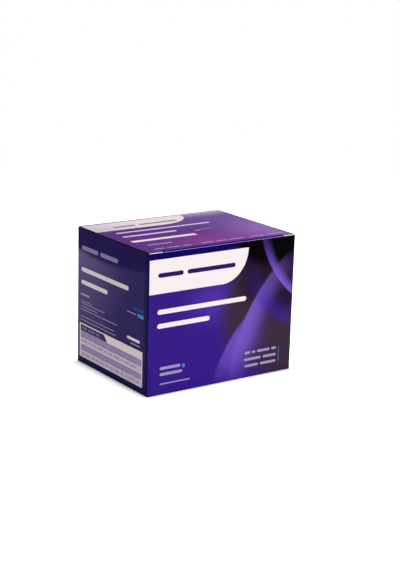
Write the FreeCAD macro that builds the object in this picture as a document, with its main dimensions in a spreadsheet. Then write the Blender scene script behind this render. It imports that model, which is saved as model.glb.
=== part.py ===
import FreeCAD, Part
import os
import re

import Sketcher

# Folding carton for one hundred peel-packed hypodermic needles, in millimetres.
# The carton is one creased and glued sheet of boxboard: four side panels, a glued automatic
# bottom, a glue flap up the back left corner and two dust flaps under the lid. The lid hangs
# on the back panel by its crease and ends in a tuck flap with a slit lock at each end.
# Inside lie twenty sealed strips of five packs, in two columns of ten, paper side up.
# X runs along the front, Y from the front to the back and Z up. The origin is the middle
# of the base.

SIZES = [
    ("carton_width", 110.0, "outside, left to right"),
    ("carton_depth", 84.0, "outside, front to back"),
    ("carton_height", 90.0, "outside, base to the top of the lid"),
    ("board", 0.5, "thickness of the boxboard"),
    ("fold_radius", 0.6, "outer radius of a creased edge"),
    ("lid_inset", 0.8, "each cut side of the lid, in from the carton's side"),
    ("lid_side_room", 0.15, "between the lid and the dust flaps' creases beside it"),
    ("slit_length", 9.0, "slit at each end of the tuck crease, from the carton's side"),
    ("slit_drop", 1.0, "free height under the lid along the slit"),
    ("tuck_depth", 15.0, "length of the tuck flap"),
    ("tuck_gap", 0.25, "between the tuck flap and the front panel"),
    ("tuck_spare_tilt", 1.0, "degrees of lean beyond what the swing needs"),
    ("tuck_side_room", 0.7, "between the tuck flap and each side panel"),
    ("tuck_corner", 8.0, "radius of the tuck flap's lower corners"),
    ("tuck_bend", 0.8, "outer radius of the tuck crease"),
    ("tuck_inner_bend", 0.3, "inner radius of the tuck crease"),
    ("dust_length", 38.0, "dust flap, from the carton's side"),
    ("dust_room", 0.3, "between a dust flap and what lies before or behind it"),
    ("dust_shoulder", 10.0, "straight stretch of the front edge beside the slit"),
    ("dust_step", 3.0, "how far the front edge steps back past the shoulder"),
    ("dust_taper", 7.0, "how far the back edge leans in at the tip"),
    ("dust_corner", 5.0, "radius of the dust flap's tip corners"),
    ("dust_crease_slope", 0.15, "run of the crease's inner slope, down to the dust flap"),
    ("dust_bend", 0.4, "outer radius of a dust flap's crease"),
    ("glue_flap_width", 14.0, "glue flap, from the left panel"),
    ("glue_flap_end", 2.0, "glue flap's ends, from the base and from the rim"),
    ("glue_flap_slope", 5.0, "slope at the glue flap's ends"),
    ("base_flap_length", 34.0, "inner base flap, from the carton's side"),
    ("base_flap_room", 0.6, "between an inner base flap and the front and back panels"),
    ("base_flap_taper", 14.0, "slope at the inner base flap's tip"),
    ("lock_reach", 12.0, "how far each base panel's tongue crosses the middle"),
    ("lock_slant", 9.0, "half length of the slanted part of the base seam"),
    ("seam_width", 0.4, "width of the base seam"),
    ("seam_depth", 0.25, "depth of the base seam"),
    ("head_room", 5.0, "free height between the top strips and the dust flaps"),
    ("strip_end_room", 0.3, "between a strip and the side panel"),
    ("column_room", 0.4, "between the two columns of strips"),
    ("strip_front_room", 0.3, "between the strips and the tuck flap"),
    ("strip_back_room", 0.3, "between the strips and the glue flap"),
    ("backing", 0.3, "thickness of the sealed paper and film"),
    ("hub_seal", 5.5, "flat seal beyond the hub end of a pack"),
    ("peel_seal", 8.0, "flat peel end of a pack"),
    ("hub_chamber_width", 9.0, "blister over the hub, across"),
    ("hub_chamber_length", 14.0, "blister over the hub, along"),
    ("cap_chamber_width", 6.8, "blister over the capped needle, across"),
    ("chamber_slope", 2.0, "length of the shoulder between the two chambers"),
    ("chamber_corner", 1.5, "cut of the blister's end corners"),
    ("chamber_draft", 6.0, "lean of the blister's walls, in degrees"),
    ("perforation_width", 0.4, "tear line between two packs, across"),
    ("perforation_depth", 0.1, "tear line between two packs, depth"),
]

COLUMNS = {"left": -1, "right": 1}
LAYERS = 10
PACKS = 5

# Lengths that several pieces share, worked out from the sizes above.
SIDE = "(carton_width / 2)"
FRONT = "(-carton_depth / 2)"
BACK = "(carton_depth / 2)"
RIM = "(carton_height - board)"
FLAP_UNDERSIDE = "(carton_height - 2 * board)"
FLOOR = "(2 * board)"
LID_SIDE = "(carton_width / 2 - lid_inset)"
TUCK_SIDE = "(carton_width / 2 - board - tuck_side_room)"

# The tuck flap leans inward, so that on its swing about the back crease it stays clear of
# the front panel, and the dust flaps stop short of that swing.
TILT = "(asin(tuck_depth / (2 * carton_depth)) + tuck_spare_tilt * 1 deg)"
TUCK_FACE = "(board + tuck_gap - carton_depth / 2)"
TUCK_SWING = "sqrt((carton_depth - 2 * board - tuck_gap)^2 - (tuck_depth / 2)^2)"
DUST_FRONT = f"({BACK} - {TUCK_SWING} + dust_room)"
DUST_BACK = "(carton_depth / 2 - 2 * board - dust_room)"

# The strips fill what the panels, the tuck flap and the flaps above leave free.
STRIP_FRONT = f"({TUCK_FACE} + board + tuck_depth * sin({TILT}) + strip_front_room)"
STRIP_BACK = "(carton_depth / 2 - 2 * board - strip_back_room)"
STRIP_WIDTH = f"({STRIP_BACK} - {STRIP_FRONT})"
STRIP_LENGTH = "((carton_width - 2 * board - 2 * strip_end_room - column_room) / 2)"
PACK_PITCH = f"({STRIP_WIDTH} / {PACKS})"
LAYER_PITCH = f"(({FLAP_UNDERSIDE} - {FLOOR} - head_room) / {LAYERS})"

ALIASES = re.compile(r"\b(" + "|".join(name for name, _, _ in SIZES) + r")\b")

doc = FreeCAD.newDocument("needle_carton")


def write_sizes():
    """Puts the driving sizes into a spreadsheet, one row each."""
    sheet = doc.addObject("Spreadsheet::Sheet", "Sizes")
    for row, (name, value, meaning) in enumerate(SIZES, start=1):
        sheet.set(f"A{row}", name)
        sheet.set(f"B{row}", str(value))
        sheet.set(f"C{row}", meaning)
        sheet.setAlias(f"B{row}", name)
    doc.recompute()


def bound(text):
    """The expression, with each size's name pointing at its cell."""
    return ALIASES.sub(r"Sizes.\1", text)


def new_body(label):
    """An empty body with the label that names its file."""
    body = doc.addObject("PartDesign::Body", label)
    body.Label = label
    return body


def origin_part(body, role):
    """One of the body's own origin planes or axes."""
    return next(part for part in body.Origin.OriginFeatures if part.Role == role)


def draw(body, name, plane, outlines, lift="0"):
    """A sketch of closed outlines, each corner tied to a pair of expressions."""
    sketch = body.newObject("Sketcher::SketchObject", name)
    sketch.AttachmentSupport = [(origin_part(body, plane), "")]
    sketch.MapMode = "FlatFace"
    sketch.setExpression("AttachmentOffset.Base.z", bound(lift))
    for corners in outlines:
        first = sketch.GeometryCount
        exact = [[bound(across), bound(up)] for across, up in corners]
        points = [FreeCAD.Vector(*map(sketch.evalExpression, pair)) for pair in exact]
        ends = points[1:] + points[:1]
        for start, end in zip(points, ends):
            sketch.addGeometry(Part.LineSegment(start, end), False)
        for index, (across, up) in enumerate(exact):
            line = first + index
            following = first + (index + 1) % len(corners)
            sketch.addConstraint(Sketcher.Constraint("Coincident", line, 2, following, 1))
            for kind, text, number in (
                ("DistanceX", across, points[index].x),
                ("DistanceY", up, points[index].y),
            ):
                held = sketch.addConstraint(Sketcher.Constraint(kind, -1, 1, line, 1, number))
                sketch.setExpression(f"Constraints[{held}]", text)
    return sketch


def extrude(body, kind, sketch, length, side="One side", reverse=False):
    """A pad or a pocket of the sketch, which becomes the body's tip."""
    feature = body.newObject(f"PartDesign::{kind}", f"{sketch.Name}_{kind.lower()}")
    feature.Profile = sketch
    feature.SideType = side
    feature.Reversed = reverse
    feature.setExpression("Length", bound(length))
    doc.recompute()
    return feature


def repeat(body, feature, axis, step, count):
    """The feature again and again along one of the body's axes."""
    pattern = body.newObject("PartDesign::LinearPattern", f"{feature.Name}_row")
    pattern.Originals = [feature]
    pattern.Direction = (origin_part(body, axis), [""])
    pattern.Occurrences = count
    pattern.setExpression("Length", bound(f"{count - 1} * {step}"))
    body.Tip = pattern
    doc.recompute()
    return pattern


def round_off(body, name, radius, chosen):
    """A fillet on the tip's edges that the test chooses."""
    base = body.Tip
    edges = [f"Edge{n}" for n, edge in enumerate(base.Shape.Edges, start=1) if chosen(edge)]
    fillet = body.newObject("PartDesign::Fillet", name)
    fillet.Base = (base, edges)
    fillet.setExpression("Radius", bound(radius))
    doc.recompute()
    return fillet


def value(text):
    """What an expression of the sizes comes to, as a number."""
    return float(doc.Sizes.evalExpression(bound(text)))


def near(number, text, within=0.01):
    """Whether a number is what the expression comes to."""
    return abs(number - value(text)) < within


def along(edge, axis):
    """Whether a straight edge runs along the axis."""
    start, end = (vertex.Point for vertex in (edge.Vertexes[0], edge.Vertexes[-1]))
    run = end - start
    return run.Length > 0 and abs(abs(run.dot(axis)) - run.Length) < 1e-6


def rectangle(left, right, low, high):
    """The four corners of an upright rectangle."""
    return [(left, low), (right, low), (right, high), (left, high)]


def mirrored(corners):
    """The same outline on the other side of the middle."""
    return [(f"-({across})", up) for across, up in reversed(corners)]


X = FreeCAD.Vector(1, 0, 0)
Y = FreeCAD.Vector(0, 1, 0)
Z = FreeCAD.Vector(0, 0, 1)


def make_carton():
    """The creased and glued sheet, without its lid."""
    body = new_body("carton_body")
    shell = draw(body, "panels", "XY_Plane", [rectangle(f"-{SIDE}", SIDE, FRONT, BACK)])
    extrude(body, "Pad", shell, RIM)

    # The back panel's cut edge shows at the back left corner, so that one stays square.
    def folded_upright(edge):
        at = edge.CenterOfMass
        cut_corner = near(at.x, f"-{SIDE}") and near(at.y, BACK)
        return along(edge, Z) and not cut_corner

    round_off(body, "upright_folds", "fold_radius", folded_upright)
    round_off(body, "base_folds", "fold_radius", lambda edge: near(edge.BoundBox.ZMax, "0"))
    inner_side = f"({SIDE} - board)"
    inside = rectangle(f"-{inner_side}", inner_side, f"({FRONT} + board)", f"({BACK} - board)")
    hollow = draw(body, "hollow", "XY_Plane", [inside], lift=RIM)
    extrude(body, "Pocket", hollow, f"{RIM} - board")

    make_base(body)
    make_glue_flap(body)
    make_dust_flaps(body)
    make_dust_creases(body)
    make_lid_crease(body)


def make_base(body):
    """The inner base flaps, and the seam where the two outer base panels lock."""
    root = f"({SIDE} - board / 2)"
    tip = f"({SIDE} - base_flap_length)"
    wide = "(carton_depth / 2 - board - base_flap_room)"
    narrow = f"({wide} - base_flap_taper)"
    flap = [(root, f"-{wide}"), (root, wide), (tip, narrow), (tip, f"-{narrow}")]
    flaps = draw(body, "base_flaps", "XY_Plane", [flap, mirrored(flap)], lift="board")
    extrude(body, "Pad", flaps, "board")

    end = f"({SIDE} - fold_radius - seam_width)"
    path = [
        (f"-{end}", "lock_reach"),
        ("-lock_slant", "lock_reach"),
        ("lock_slant", "-lock_reach"),
        (end, "-lock_reach"),
    ]
    lower = [(across, f"({up} - seam_width / 2)") for across, up in path]
    upper = [(across, f"({up} + seam_width / 2)") for across, up in reversed(path)]
    seam = draw(body, "base_seam", "XY_Plane", [lower + upper])
    extrude(body, "Pocket", seam, "seam_depth", reverse=True)


def make_glue_flap(body):
    """The left panel's glue flap, stuck to the inside of the back panel."""
    root = f"(board / 2 - {SIDE})"
    tip = f"(glue_flap_width - {SIDE})"
    low = "(board + glue_flap_end)"
    high = f"({FLAP_UNDERSIDE} - glue_flap_end)"
    corners = [
        (root, low),
        (tip, f"({low} + glue_flap_slope)"),
        (tip, f"({high} - glue_flap_slope)"),
        (root, high),
    ]
    flap = draw(body, "glue_flap", "XZ_Plane", [corners], lift=f"(2 * board - {BACK})")
    extrude(body, "Pad", flap, "1.5 * board", reverse=True)


def make_dust_flaps(body):
    """The two flaps under the lid, folded in from the side panels."""
    root = f"({SIDE} - board / 2)"
    shoulder = f"({SIDE} - dust_shoulder)"
    step = f"({shoulder} - dust_step)"
    tip = f"({SIDE} - dust_length)"
    flap = [
        (root, DUST_FRONT),
        (root, DUST_BACK),
        (tip, f"({DUST_BACK} - dust_taper)"),
        (tip, f"({DUST_FRONT} + dust_step)"),
        (step, f"({DUST_FRONT} + dust_step)"),
        (shoulder, DUST_FRONT),
    ]
    flaps = draw(body, "dust_flaps", "XY_Plane", [flap, mirrored(flap)], lift=FLAP_UNDERSIDE)
    extrude(body, "Pad", flaps, "board")

    def tip_corner(edge):
        at = edge.CenterOfMass
        return along(edge, Z) and near(abs(at.x), tip) and at.z > value(FLAP_UNDERSIDE)

    round_off(body, "dust_flap_corners", "dust_corner", tip_corner)


def make_dust_creases(body):
    """The creases at the roots of the dust flaps, which stand level with the lid beside it."""
    foot = f"({LID_SIDE} + lid_side_room)"
    low = f"({RIM} - board)"
    crease = [
        (foot, low),
        (SIDE, low),
        (SIDE, "carton_height"),
        (f"({foot} + dust_crease_slope)", "carton_height"),
        (foot, RIM),
    ]
    creases = draw(body, "dust_creases", "XZ_Plane", [crease, mirrored(crease)])
    extrude(body, "Pad", creases, "carton_depth - 2 * fold_radius", side="Symmetric")

    def outer_edge(edge):
        at = edge.CenterOfMass
        return along(edge, Y) and near(abs(at.x), SIDE) and near(at.z, "carton_height")

    round_off(body, "dust_crease_rounds", "dust_bend", outer_edge)


def make_lid_crease(body):
    """The back panel's half of the lid crease, mitred to the crease's outer line."""
    low = f"({RIM} - board)"
    ridge = [
        (f"({BACK} - board)", low),
        (BACK, low),
        (BACK, "carton_height"),
        (f"({BACK} - board)", RIM),
    ]
    crease = draw(body, "lid_crease", "YZ_Plane", [ridge])
    extrude(body, "Pad", crease, f"2 * {LID_SIDE}", side="Symmetric")


def make_lid():
    """The lid panel with its tuck flap, from the mitred back crease to the slit lock."""
    body = new_body("lid")
    outward = (f"(-cos({TILT}))", f"(-sin({TILT}))")
    downward = (f"sin({TILT})", f"(-cos({TILT}))")
    tip = (f"({TUCK_FACE} + tuck_depth * {downward[0]})", f"(carton_height + tuck_depth * {downward[1]})")
    inner_tip = (f"({tip[0]} - board * {outward[0]})", f"({tip[1]} - board * {outward[1]})")
    inner_fold = f"({TUCK_FACE} + board * (1 + sin({TILT})) / cos({TILT}))"
    profile = [
        (BACK, "carton_height"),
        (TUCK_FACE, "carton_height"),
        tip,
        inner_tip,
        (inner_fold, RIM),
        (f"({BACK} - board)", RIM),
    ]
    sheet = draw(body, "lid_profile", "YZ_Plane", [profile])
    extrude(body, "Pad", sheet, f"2 * {LID_SIDE}", side="Symmetric")

    def outer_bend(edge):
        at = edge.CenterOfMass
        return along(edge, X) and near(at.y, TUCK_FACE) and near(at.z, "carton_height")

    def inner_bend(edge):
        at = edge.CenterOfMass
        return along(edge, X) and near(at.y, inner_fold) and near(at.z, RIM)

    round_off(body, "tuck_crease", "tuck_bend", outer_bend)
    round_off(body, "tuck_crease_inside", "tuck_inner_bend", inner_bend)
    make_slit_lock(body, inner_fold)
    trim_tuck_flap(body)


def make_slit_lock(body, inner_fold):
    """At each end of the tuck crease the lid runs on flat to the front, over a slit."""
    slit_end = f"({SIDE} - slit_length)"
    beyond = f"({LID_SIDE} + board)"
    behind = f"({inner_fold} + tuck_inner_bend)"
    ahead = f"({FRONT} - board)"
    slit = rectangle(slit_end, beyond, ahead, behind)
    cut = draw(body, "slits", "XY_Plane", [slit, mirrored(slit)], lift="(carton_height + board)")
    extrude(body, "Pocket", cut, "2 * board + slit_drop")
    overlap = f"({behind} + board)"
    tongue = rectangle(slit_end, LID_SIDE, FRONT, overlap)
    ends = draw(body, "lid_ends", "XY_Plane", [tongue, mirrored(tongue)], lift=RIM)
    extrude(body, "Pad", ends, "board")


def trim_tuck_flap(body):
    """The tuck flap is narrower than the lid, and its lower corners are round."""
    top = f"({RIM} - slit_drop)"
    under = "(carton_height - tuck_depth - 2 * board)"
    side = rectangle(TUCK_SIDE, f"({LID_SIDE} + board)", under, top)
    trim = draw(body, "tuck_sides", "XZ_Plane", [side, mirrored(side)], lift=f"(-{FRONT} + board)")
    extrude(body, "Pocket", trim, "6 * board + tuck_depth")

    def lower_corner(edge):
        at = edge.CenterOfMass
        low = at.z < value("carton_height - tuck_depth + 2 * board")
        across_board = edge.Length < value("2 * board")
        return low and across_board and near(abs(at.x), TUCK_SIDE)

    round_off(body, "tuck_corners", "tuck_corner", lower_corner)


def blister_outline():
    """A blister seen from above: the hub's chamber, a shoulder and the capped needle's chamber."""
    half = f"({STRIP_LENGTH} / 2)"
    hub_start = f"(hub_seal - {half})"
    hub_end = f"({hub_start} + hub_chamber_length)"
    cap_end = f"({half} - peel_seal)"
    wide = "(hub_chamber_width / 2)"
    narrow = "(cap_chamber_width / 2)"
    reaches = [
        (hub_start, f"({wide} - chamber_corner)"),
        (f"({hub_start} + chamber_corner)", wide),
        (hub_end, wide),
        (f"({hub_end} + chamber_slope)", narrow),
        (f"({cap_end} - chamber_corner)", narrow),
        (cap_end, f"({narrow} - chamber_corner)"),
    ]
    row = f"(({PACK_PITCH} - {STRIP_WIDTH}) / 2)"
    near_side = [(across, f"({row} - {reach})") for across, reach in reaches]
    far_side = [(across, f"({row} + {reach})") for across, reach in reversed(reaches)]
    return near_side + far_side


def make_blisters(body, label):
    """The row of blisters under the strip, whose walls lean in towards their floors."""
    outline = draw(body, f"{label}_outline", "XY_Plane", [blister_outline()])
    blister = extrude(body, "Pad", outline, f"{LAYER_PITCH} - backing", reverse=True)
    row = repeat(body, blister, "Y_Axis", PACK_PITCH, PACKS)

    walls = [
        f"Face{number}"
        for number, face in enumerate(row.Shape.Faces, start=1)
        if face.CenterOfMass.z < 0 and abs(face.normalAt(0, 0).z) < 0.5
    ]
    lean = body.newObject("PartDesign::Draft", f"{label}_lean")
    lean.Base = (row, walls)
    lean.NeutralPlane = (origin_part(body, "XY_Plane"), [""])
    lean.Reversed = True
    lean.setExpression("Angle", bound("chamber_draft"))
    doc.recompute()


def make_strip(label, column, layer):
    """One sealed strip of packs, paper up and blisters down, put in its place in the stack."""
    body = new_body(label)
    half = f"({STRIP_LENGTH} / 2)"
    edge = f"({STRIP_WIDTH} / 2)"
    paper = draw(body, f"{label}_sheet", "XY_Plane", [rectangle(f"-{half}", half, f"-{edge}", edge)])
    extrude(body, "Pad", paper, "backing")
    make_blisters(body, label)

    past = f"({half} + perforation_width)"
    tear = f"({PACK_PITCH} - {edge})"
    tear_front = f"({tear} - perforation_width / 2)"
    tear_back = f"({tear} + perforation_width / 2)"
    line = rectangle(f"-{past}", past, tear_front, tear_back)
    groove = draw(body, f"{label}_tear", "XY_Plane", [line], lift="backing")
    cut = extrude(body, "Pocket", groove, "perforation_depth")
    repeat(body, cut, "Y_Axis", PACK_PITCH, PACKS - 1)

    side = COLUMNS[column]
    turn = 0 if side < 0 else 180
    body.Placement = FreeCAD.Placement(FreeCAD.Vector(), FreeCAD.Rotation(Z, turn))
    middle = f"({STRIP_LENGTH} + column_room) / 2"
    body.setExpression("Placement.Base.x", bound(f"{side} * {middle}"))
    body.setExpression("Placement.Base.y", bound(f"({STRIP_FRONT} + {STRIP_BACK}) / 2"))
    body.setExpression("Placement.Base.z", bound(f"{FLOOR} + {layer} * {LAYER_PITCH} - backing"))


def export_parts():
    """Checks every object, then writes each body's solid to its own file."""
    doc.recompute()
    for item in doc.Objects:
        if {"Invalid", "Error"} & set(item.State):
            raise RuntimeError(f"{item.Label} did not build: {item.State}")
    bodies = [item for item in doc.Objects if item.TypeId == "PartDesign::Body"]
    for body in bodies:
        if body.Shape.isNull() or not body.Shape.isValid() or len(body.Shape.Solids) != 1:
            raise RuntimeError(f"{body.Label} is not one sound solid")
    os.makedirs("parts", exist_ok=True)
    for body in bodies:
        body.Shape.exportStep(os.path.join("parts", f"{body.Label}.step"))
        box = body.Shape.BoundBox
        extent = f"{box.XLength:.1f} x {box.YLength:.1f} x {box.ZLength:.1f}"
        print(f"{body.Label}: {body.Shape.Volume:.0f} mm3, {extent}")


write_sizes()
make_carton()
make_lid()
for column_name in COLUMNS:
    for layer_number in range(1, LAYERS + 1):
        make_strip(f"needle_strip_{column_name}_{layer_number:02d}", column_name, layer_number)
export_parts()
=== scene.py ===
"""Looks of a folding carton of hypodermic needles: printed board, films of ink and packed needles.

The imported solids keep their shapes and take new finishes, one for each kind of surface that a
folded sheet of board has. Print with a crisp edge is laid on as thin films of ink, which ride on
the carton or on its lid. All sizes are in millimetres, apart from those of the studio, in metres.
"""

import functools
import itertools
import logging
import math
from collections.abc import Callable, Iterable, Sequence
from dataclasses import dataclass, replace
from enum import Enum, auto

import bmesh
import bpy
from mathutils import Matrix, Vector


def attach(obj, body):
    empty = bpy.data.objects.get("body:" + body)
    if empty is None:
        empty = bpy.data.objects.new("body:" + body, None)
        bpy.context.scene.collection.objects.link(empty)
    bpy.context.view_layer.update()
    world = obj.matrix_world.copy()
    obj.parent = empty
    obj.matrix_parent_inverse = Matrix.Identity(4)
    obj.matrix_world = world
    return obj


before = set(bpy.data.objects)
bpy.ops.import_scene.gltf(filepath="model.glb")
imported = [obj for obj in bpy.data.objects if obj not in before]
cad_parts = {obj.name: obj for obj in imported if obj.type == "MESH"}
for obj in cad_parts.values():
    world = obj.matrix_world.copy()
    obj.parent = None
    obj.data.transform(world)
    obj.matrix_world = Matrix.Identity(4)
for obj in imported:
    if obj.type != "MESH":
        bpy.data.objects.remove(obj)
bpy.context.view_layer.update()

log = logging.getLogger("needle_carton")

Tree = bpy.types.NodeTree
Socket = bpy.types.NodeSocket
Material = bpy.types.Material
Rgba = tuple[float, float, float, float]
Point = tuple[float, float]
Triple = tuple[float, float, float]
# Left, right, lower and upper edge.
Edges = Sequence[float]

MM = 0.001

WIDTH = 110.0
DEPTH = 84.0
HEIGHT = 90.0
BOARD = 0.5
RIM = HEIGHT - BOARD
FOLD_RADIUS = 0.6
LID_SIDE = 54.2
TAB_START = 46.0
TUCK_BEND = 0.8


def linear(ink: str) -> Rgba:
    """Turns an sRGB hex colour to the linear colour that shaders take.

    Args:
        ink: Six hex digits after a hash sign.

    Returns:
        Red, green, blue and an opaque alpha, all linear.
    """
    levels = [int(ink[start : start + 2], 16) / 255 for start in (1, 3, 5)]
    curved = [v / 12.92 if v <= 0.04045 else ((v + 0.055) / 1.055) ** 2.4 for v in levels]
    return (curved[0], curved[1], curved[2], 1.0)


def add(
    tree: Tree,
    kind: str,
    inputs: Sequence[object] | dict[int | str, object] = (),
    output: int | str = 0,
    **settings: object,
) -> Socket | None:
    """Adds one shader node with its settings, constants and links.

    Args:
        tree: The node tree that gets the node.
        kind: The node's type, without Blender's prefix.
        inputs: A number, colour or vector, or another node's output to link, for each socket in
            order or for those that are named.
        output: Which of the node's outputs is wanted.
        settings: The node's own options.

    Returns:
        That output, or nothing for the node that ends a tree.
    """
    node = tree.nodes.new(f"ShaderNode{kind}")
    for name, value in settings.items():
        setattr(node, name, value)
    for key, value in inputs.items() if isinstance(inputs, dict) else enumerate(inputs):
        if isinstance(value, bpy.types.NodeSocket):
            tree.links.new(value, node.inputs[key])
        else:
            node.inputs[key].default_value = value
    return node.outputs[output] if node.outputs else None


def new_material(name: str) -> tuple[Material, Tree]:
    """Starts a node material with nothing in it.

    Args:
        name: The material's own name.

    Returns:
        The material and its empty node tree.
    """
    material = bpy.data.materials.new(name)
    material.use_nodes = True
    material.node_tree.nodes.clear()
    return material, material.node_tree


def overprint(tree: Tree, under: Socket | Rgba, ink: str, mask: Socket | float) -> Socket:
    """Lays one colour over another where a mask says so.

    Args:
        tree: The material's node tree.
        under: The colour below.
        ink: The sRGB hex colour on top.
        mask: How much of the top colour shows, from 0 to 1.

    Returns:
        The mixed colour.
    """
    # A mix node keeps its colours in sockets 6 and 7, and gives them mixed at output 2.
    return add(tree, "Mix", {0: mask, 6: under, 7: linear(ink)}, output=2, data_type="RGBA")


def object_millimetres(tree: Tree) -> Socket:
    """Gives the point on the object in millimetres, in the frame of the solids.

    Args:
        tree: The material's node tree.

    Returns:
        A vector in millimetres.
    """
    place = add(tree, "TexCoord", output="Object")
    return add(tree, "VectorMath", {0: place, "Scale": 1 / MM}, operation="SCALE")


def grain(
    tree: Tree, place: Socket, size: float, stretch: Triple = (1.0, 1.0, 1.0), detail: float = 2.0
) -> Socket:
    """Makes an uneven pattern whose lumps have a real size.

    Args:
        tree: The material's node tree.
        place: The point in millimetres.
        size: How far apart the lumps are, in millimetres.
        stretch: How many times longer the lumps are along each axis.
        detail: How many finer layers the pattern has.

    Returns:
        A value around one half.
    """
    spread = tuple(1 / (size * longer) for longer in stretch)
    scaled = add(tree, "VectorMath", (place, spread), operation="MULTIPLY")
    return add(tree, "TexNoise", {"Vector": scaled, "Scale": 1.0, "Detail": detail}, "Fac")


class Panel(Enum):
    """The five printed panels: corner, directions along, up and out, length and folded ends."""

    FRONT = ((-55.0, -42.0, 0.0), (1, 0, 0), (0, 0, 1), (0, -1, 0), WIDTH, True, True)
    LEFT = ((-55.0, -42.0, 0.0), (0, 1, 0), (0, 0, 1), (-1, 0, 0), DEPTH, True, False)
    RIGHT = ((55.0, 42.0, 0.0), (0, -1, 0), (0, 0, 1), (1, 0, 0), DEPTH, True, True)
    BACK = ((55.0, 42.0, 0.0), (-1, 0, 0), (0, 0, 1), (0, 1, 0), WIDTH, True, False)
    LID = ((-55.0, -42.0, 90.0), (1, 0, 0), (0, 1, 0), (0, 0, 1), WIDTH, False, False)

    def __init__(
        self, corner: Triple, along: Triple, up: Triple, normal: Triple, length: float, *folds: bool
    ) -> None:
        """Keeps the panel's measures.

        Args:
            corner: The corner from which the print is measured.
            along: The direction of the first print length.
            up: The direction of the second print length.
            normal: The direction out of the board.
            length: How long the panel is along its print.
            folds: Whether it runs round a rounded fold at its start and at its end.
        """
        self.corner, self.along, self.up, self.normal = map(Vector, (corner, along, up, normal))
        self.length = length
        self.folds = folds

    def place(self, tree: Tree) -> Socket:
        """Gives the point on the panel's print as a flat vector.

        Args:
            tree: The material's node tree.

        Returns:
            A vector whose X and Y are the print lengths in millimetres and whose Z is 0.
        """
        point = object_millimetres(tree)
        offset = add(tree, "VectorMath", (point, tuple(self.corner)), operation="SUBTRACT")
        lengths = [
            add(tree, "VectorMath", (offset, tuple(way)), "Value", operation="DOT_PRODUCT")
            for way in (self.along, self.up)
        ]
        return add(tree, "CombineXYZ", lengths)


@dataclass(frozen=True)
class Ellipse:
    """A soft elliptical outline, full in the middle and gone at its rim.

    Its fade is the share of its reach over which it goes, counted from the rim.
    """

    centre: Point
    reach: Point
    strength: float = 1.0
    fade: float = 1.0

    def mask(self, tree: Tree, place: Socket) -> Socket:
        """Builds the outline's mask.

        Args:
            tree: The material's node tree.
            place: The point on the print.

        Returns:
            The strength of the colour at that point.
        """
        seat = {"Vector": place, "Location": (*self.centre, 0.0), "Scale": (*self.reach, 1.0)}
        seated = add(tree, "Mapping", seat, vector_type="TEXTURE")
        cone = add(tree, "TexGradient", {"Vector": seated}, "Fac", gradient_type="SPHERICAL")
        span = {"Value": cone, "From Max": self.fade, "To Max": self.strength}
        return add(tree, "MapRange", span, interpolation_type="SMOOTHSTEP")


@dataclass(frozen=True, kw_only=True)
class SoftSpot(Ellipse):
    """A field of one colour with such an outline."""

    ink: str


@dataclass(frozen=True)
class SoftArc:
    """A veil of colour along part of a circle, with a long fade inside and a short one outside:
    printed light on the front, painted shade at the lid's bend.
    """

    ink: str
    centre: Point
    radius: float
    inner_fade: float
    outer_fade: float
    window: Ellipse

    def mask(self, tree: Tree, place: Socket) -> Socket:
        """Builds the veil's mask.

        Args:
            tree: The material's node tree.
            place: The point on the print.

        Returns:
            The strength of the colour at that point.
        """
        ends = (place, (*self.centre, 0.0))
        far = add(tree, "VectorMath", ends, "Value", operation="DISTANCE")
        share = self.window.mask(tree, place)
        for start in (self.radius - self.inner_fade, self.radius + self.outer_fade):
            span = {"Value": far, "From Min": start, "From Max": self.radius}
            eased = add(tree, "MapRange", span, interpolation_type="SMOOTHSTEP")
            share = add(tree, "Math", (share, eased), operation="MULTIPLY")
        return share


@dataclass(frozen=True)
class Gloss:
    """How a surface shines: its roughness, refractive index and share of mirror reflection."""

    roughness: float
    ior: float = 1.5
    specular: float = 0.5


# Offset print under a matt polypropylene film: a soft, broad sheen with hardly any mirror.
MATT_FILM = Gloss(roughness=0.46, ior=1.49, specular=0.012)
# Clay coated white board without film: smooth to the touch, a little duller.
CLAY_COAT = Gloss(roughness=0.55, specular=0.2)
# Bare pulp: open fibres that scatter everything.
BARE_PULP = Gloss(roughness=0.92, specular=0.15)
# Heat formed film: drawn smooth over the tool, so it keeps a clear shine.
FORMED_FILM = Gloss(roughness=0.2, ior=1.57)


def finish_surface(tree: Tree, colour: Socket, gloss: Gloss, height: Socket, relief: float) -> None:
    """Closes a material with one opaque surface shader.

    Args:
        tree: The material's node tree.
        colour: The surface's colour.
        gloss: How it shines.
        height: Its relief, from 0 to 1.
        relief: What a height of 1 stands for, in millimetres.
    """
    bump = add(tree, "Bump", {"Height": height, "Distance": relief * MM, "Strength": 1.0})
    look = {
        "Base Color": colour,
        "Roughness": gloss.roughness,
        "IOR": gloss.ior,
        "Specular IOR Level": gloss.specular,
        "Normal": bump,
    }
    add(tree, "OutputMaterial", {"Surface": add(tree, "BsdfPrincipled", look)})


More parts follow.
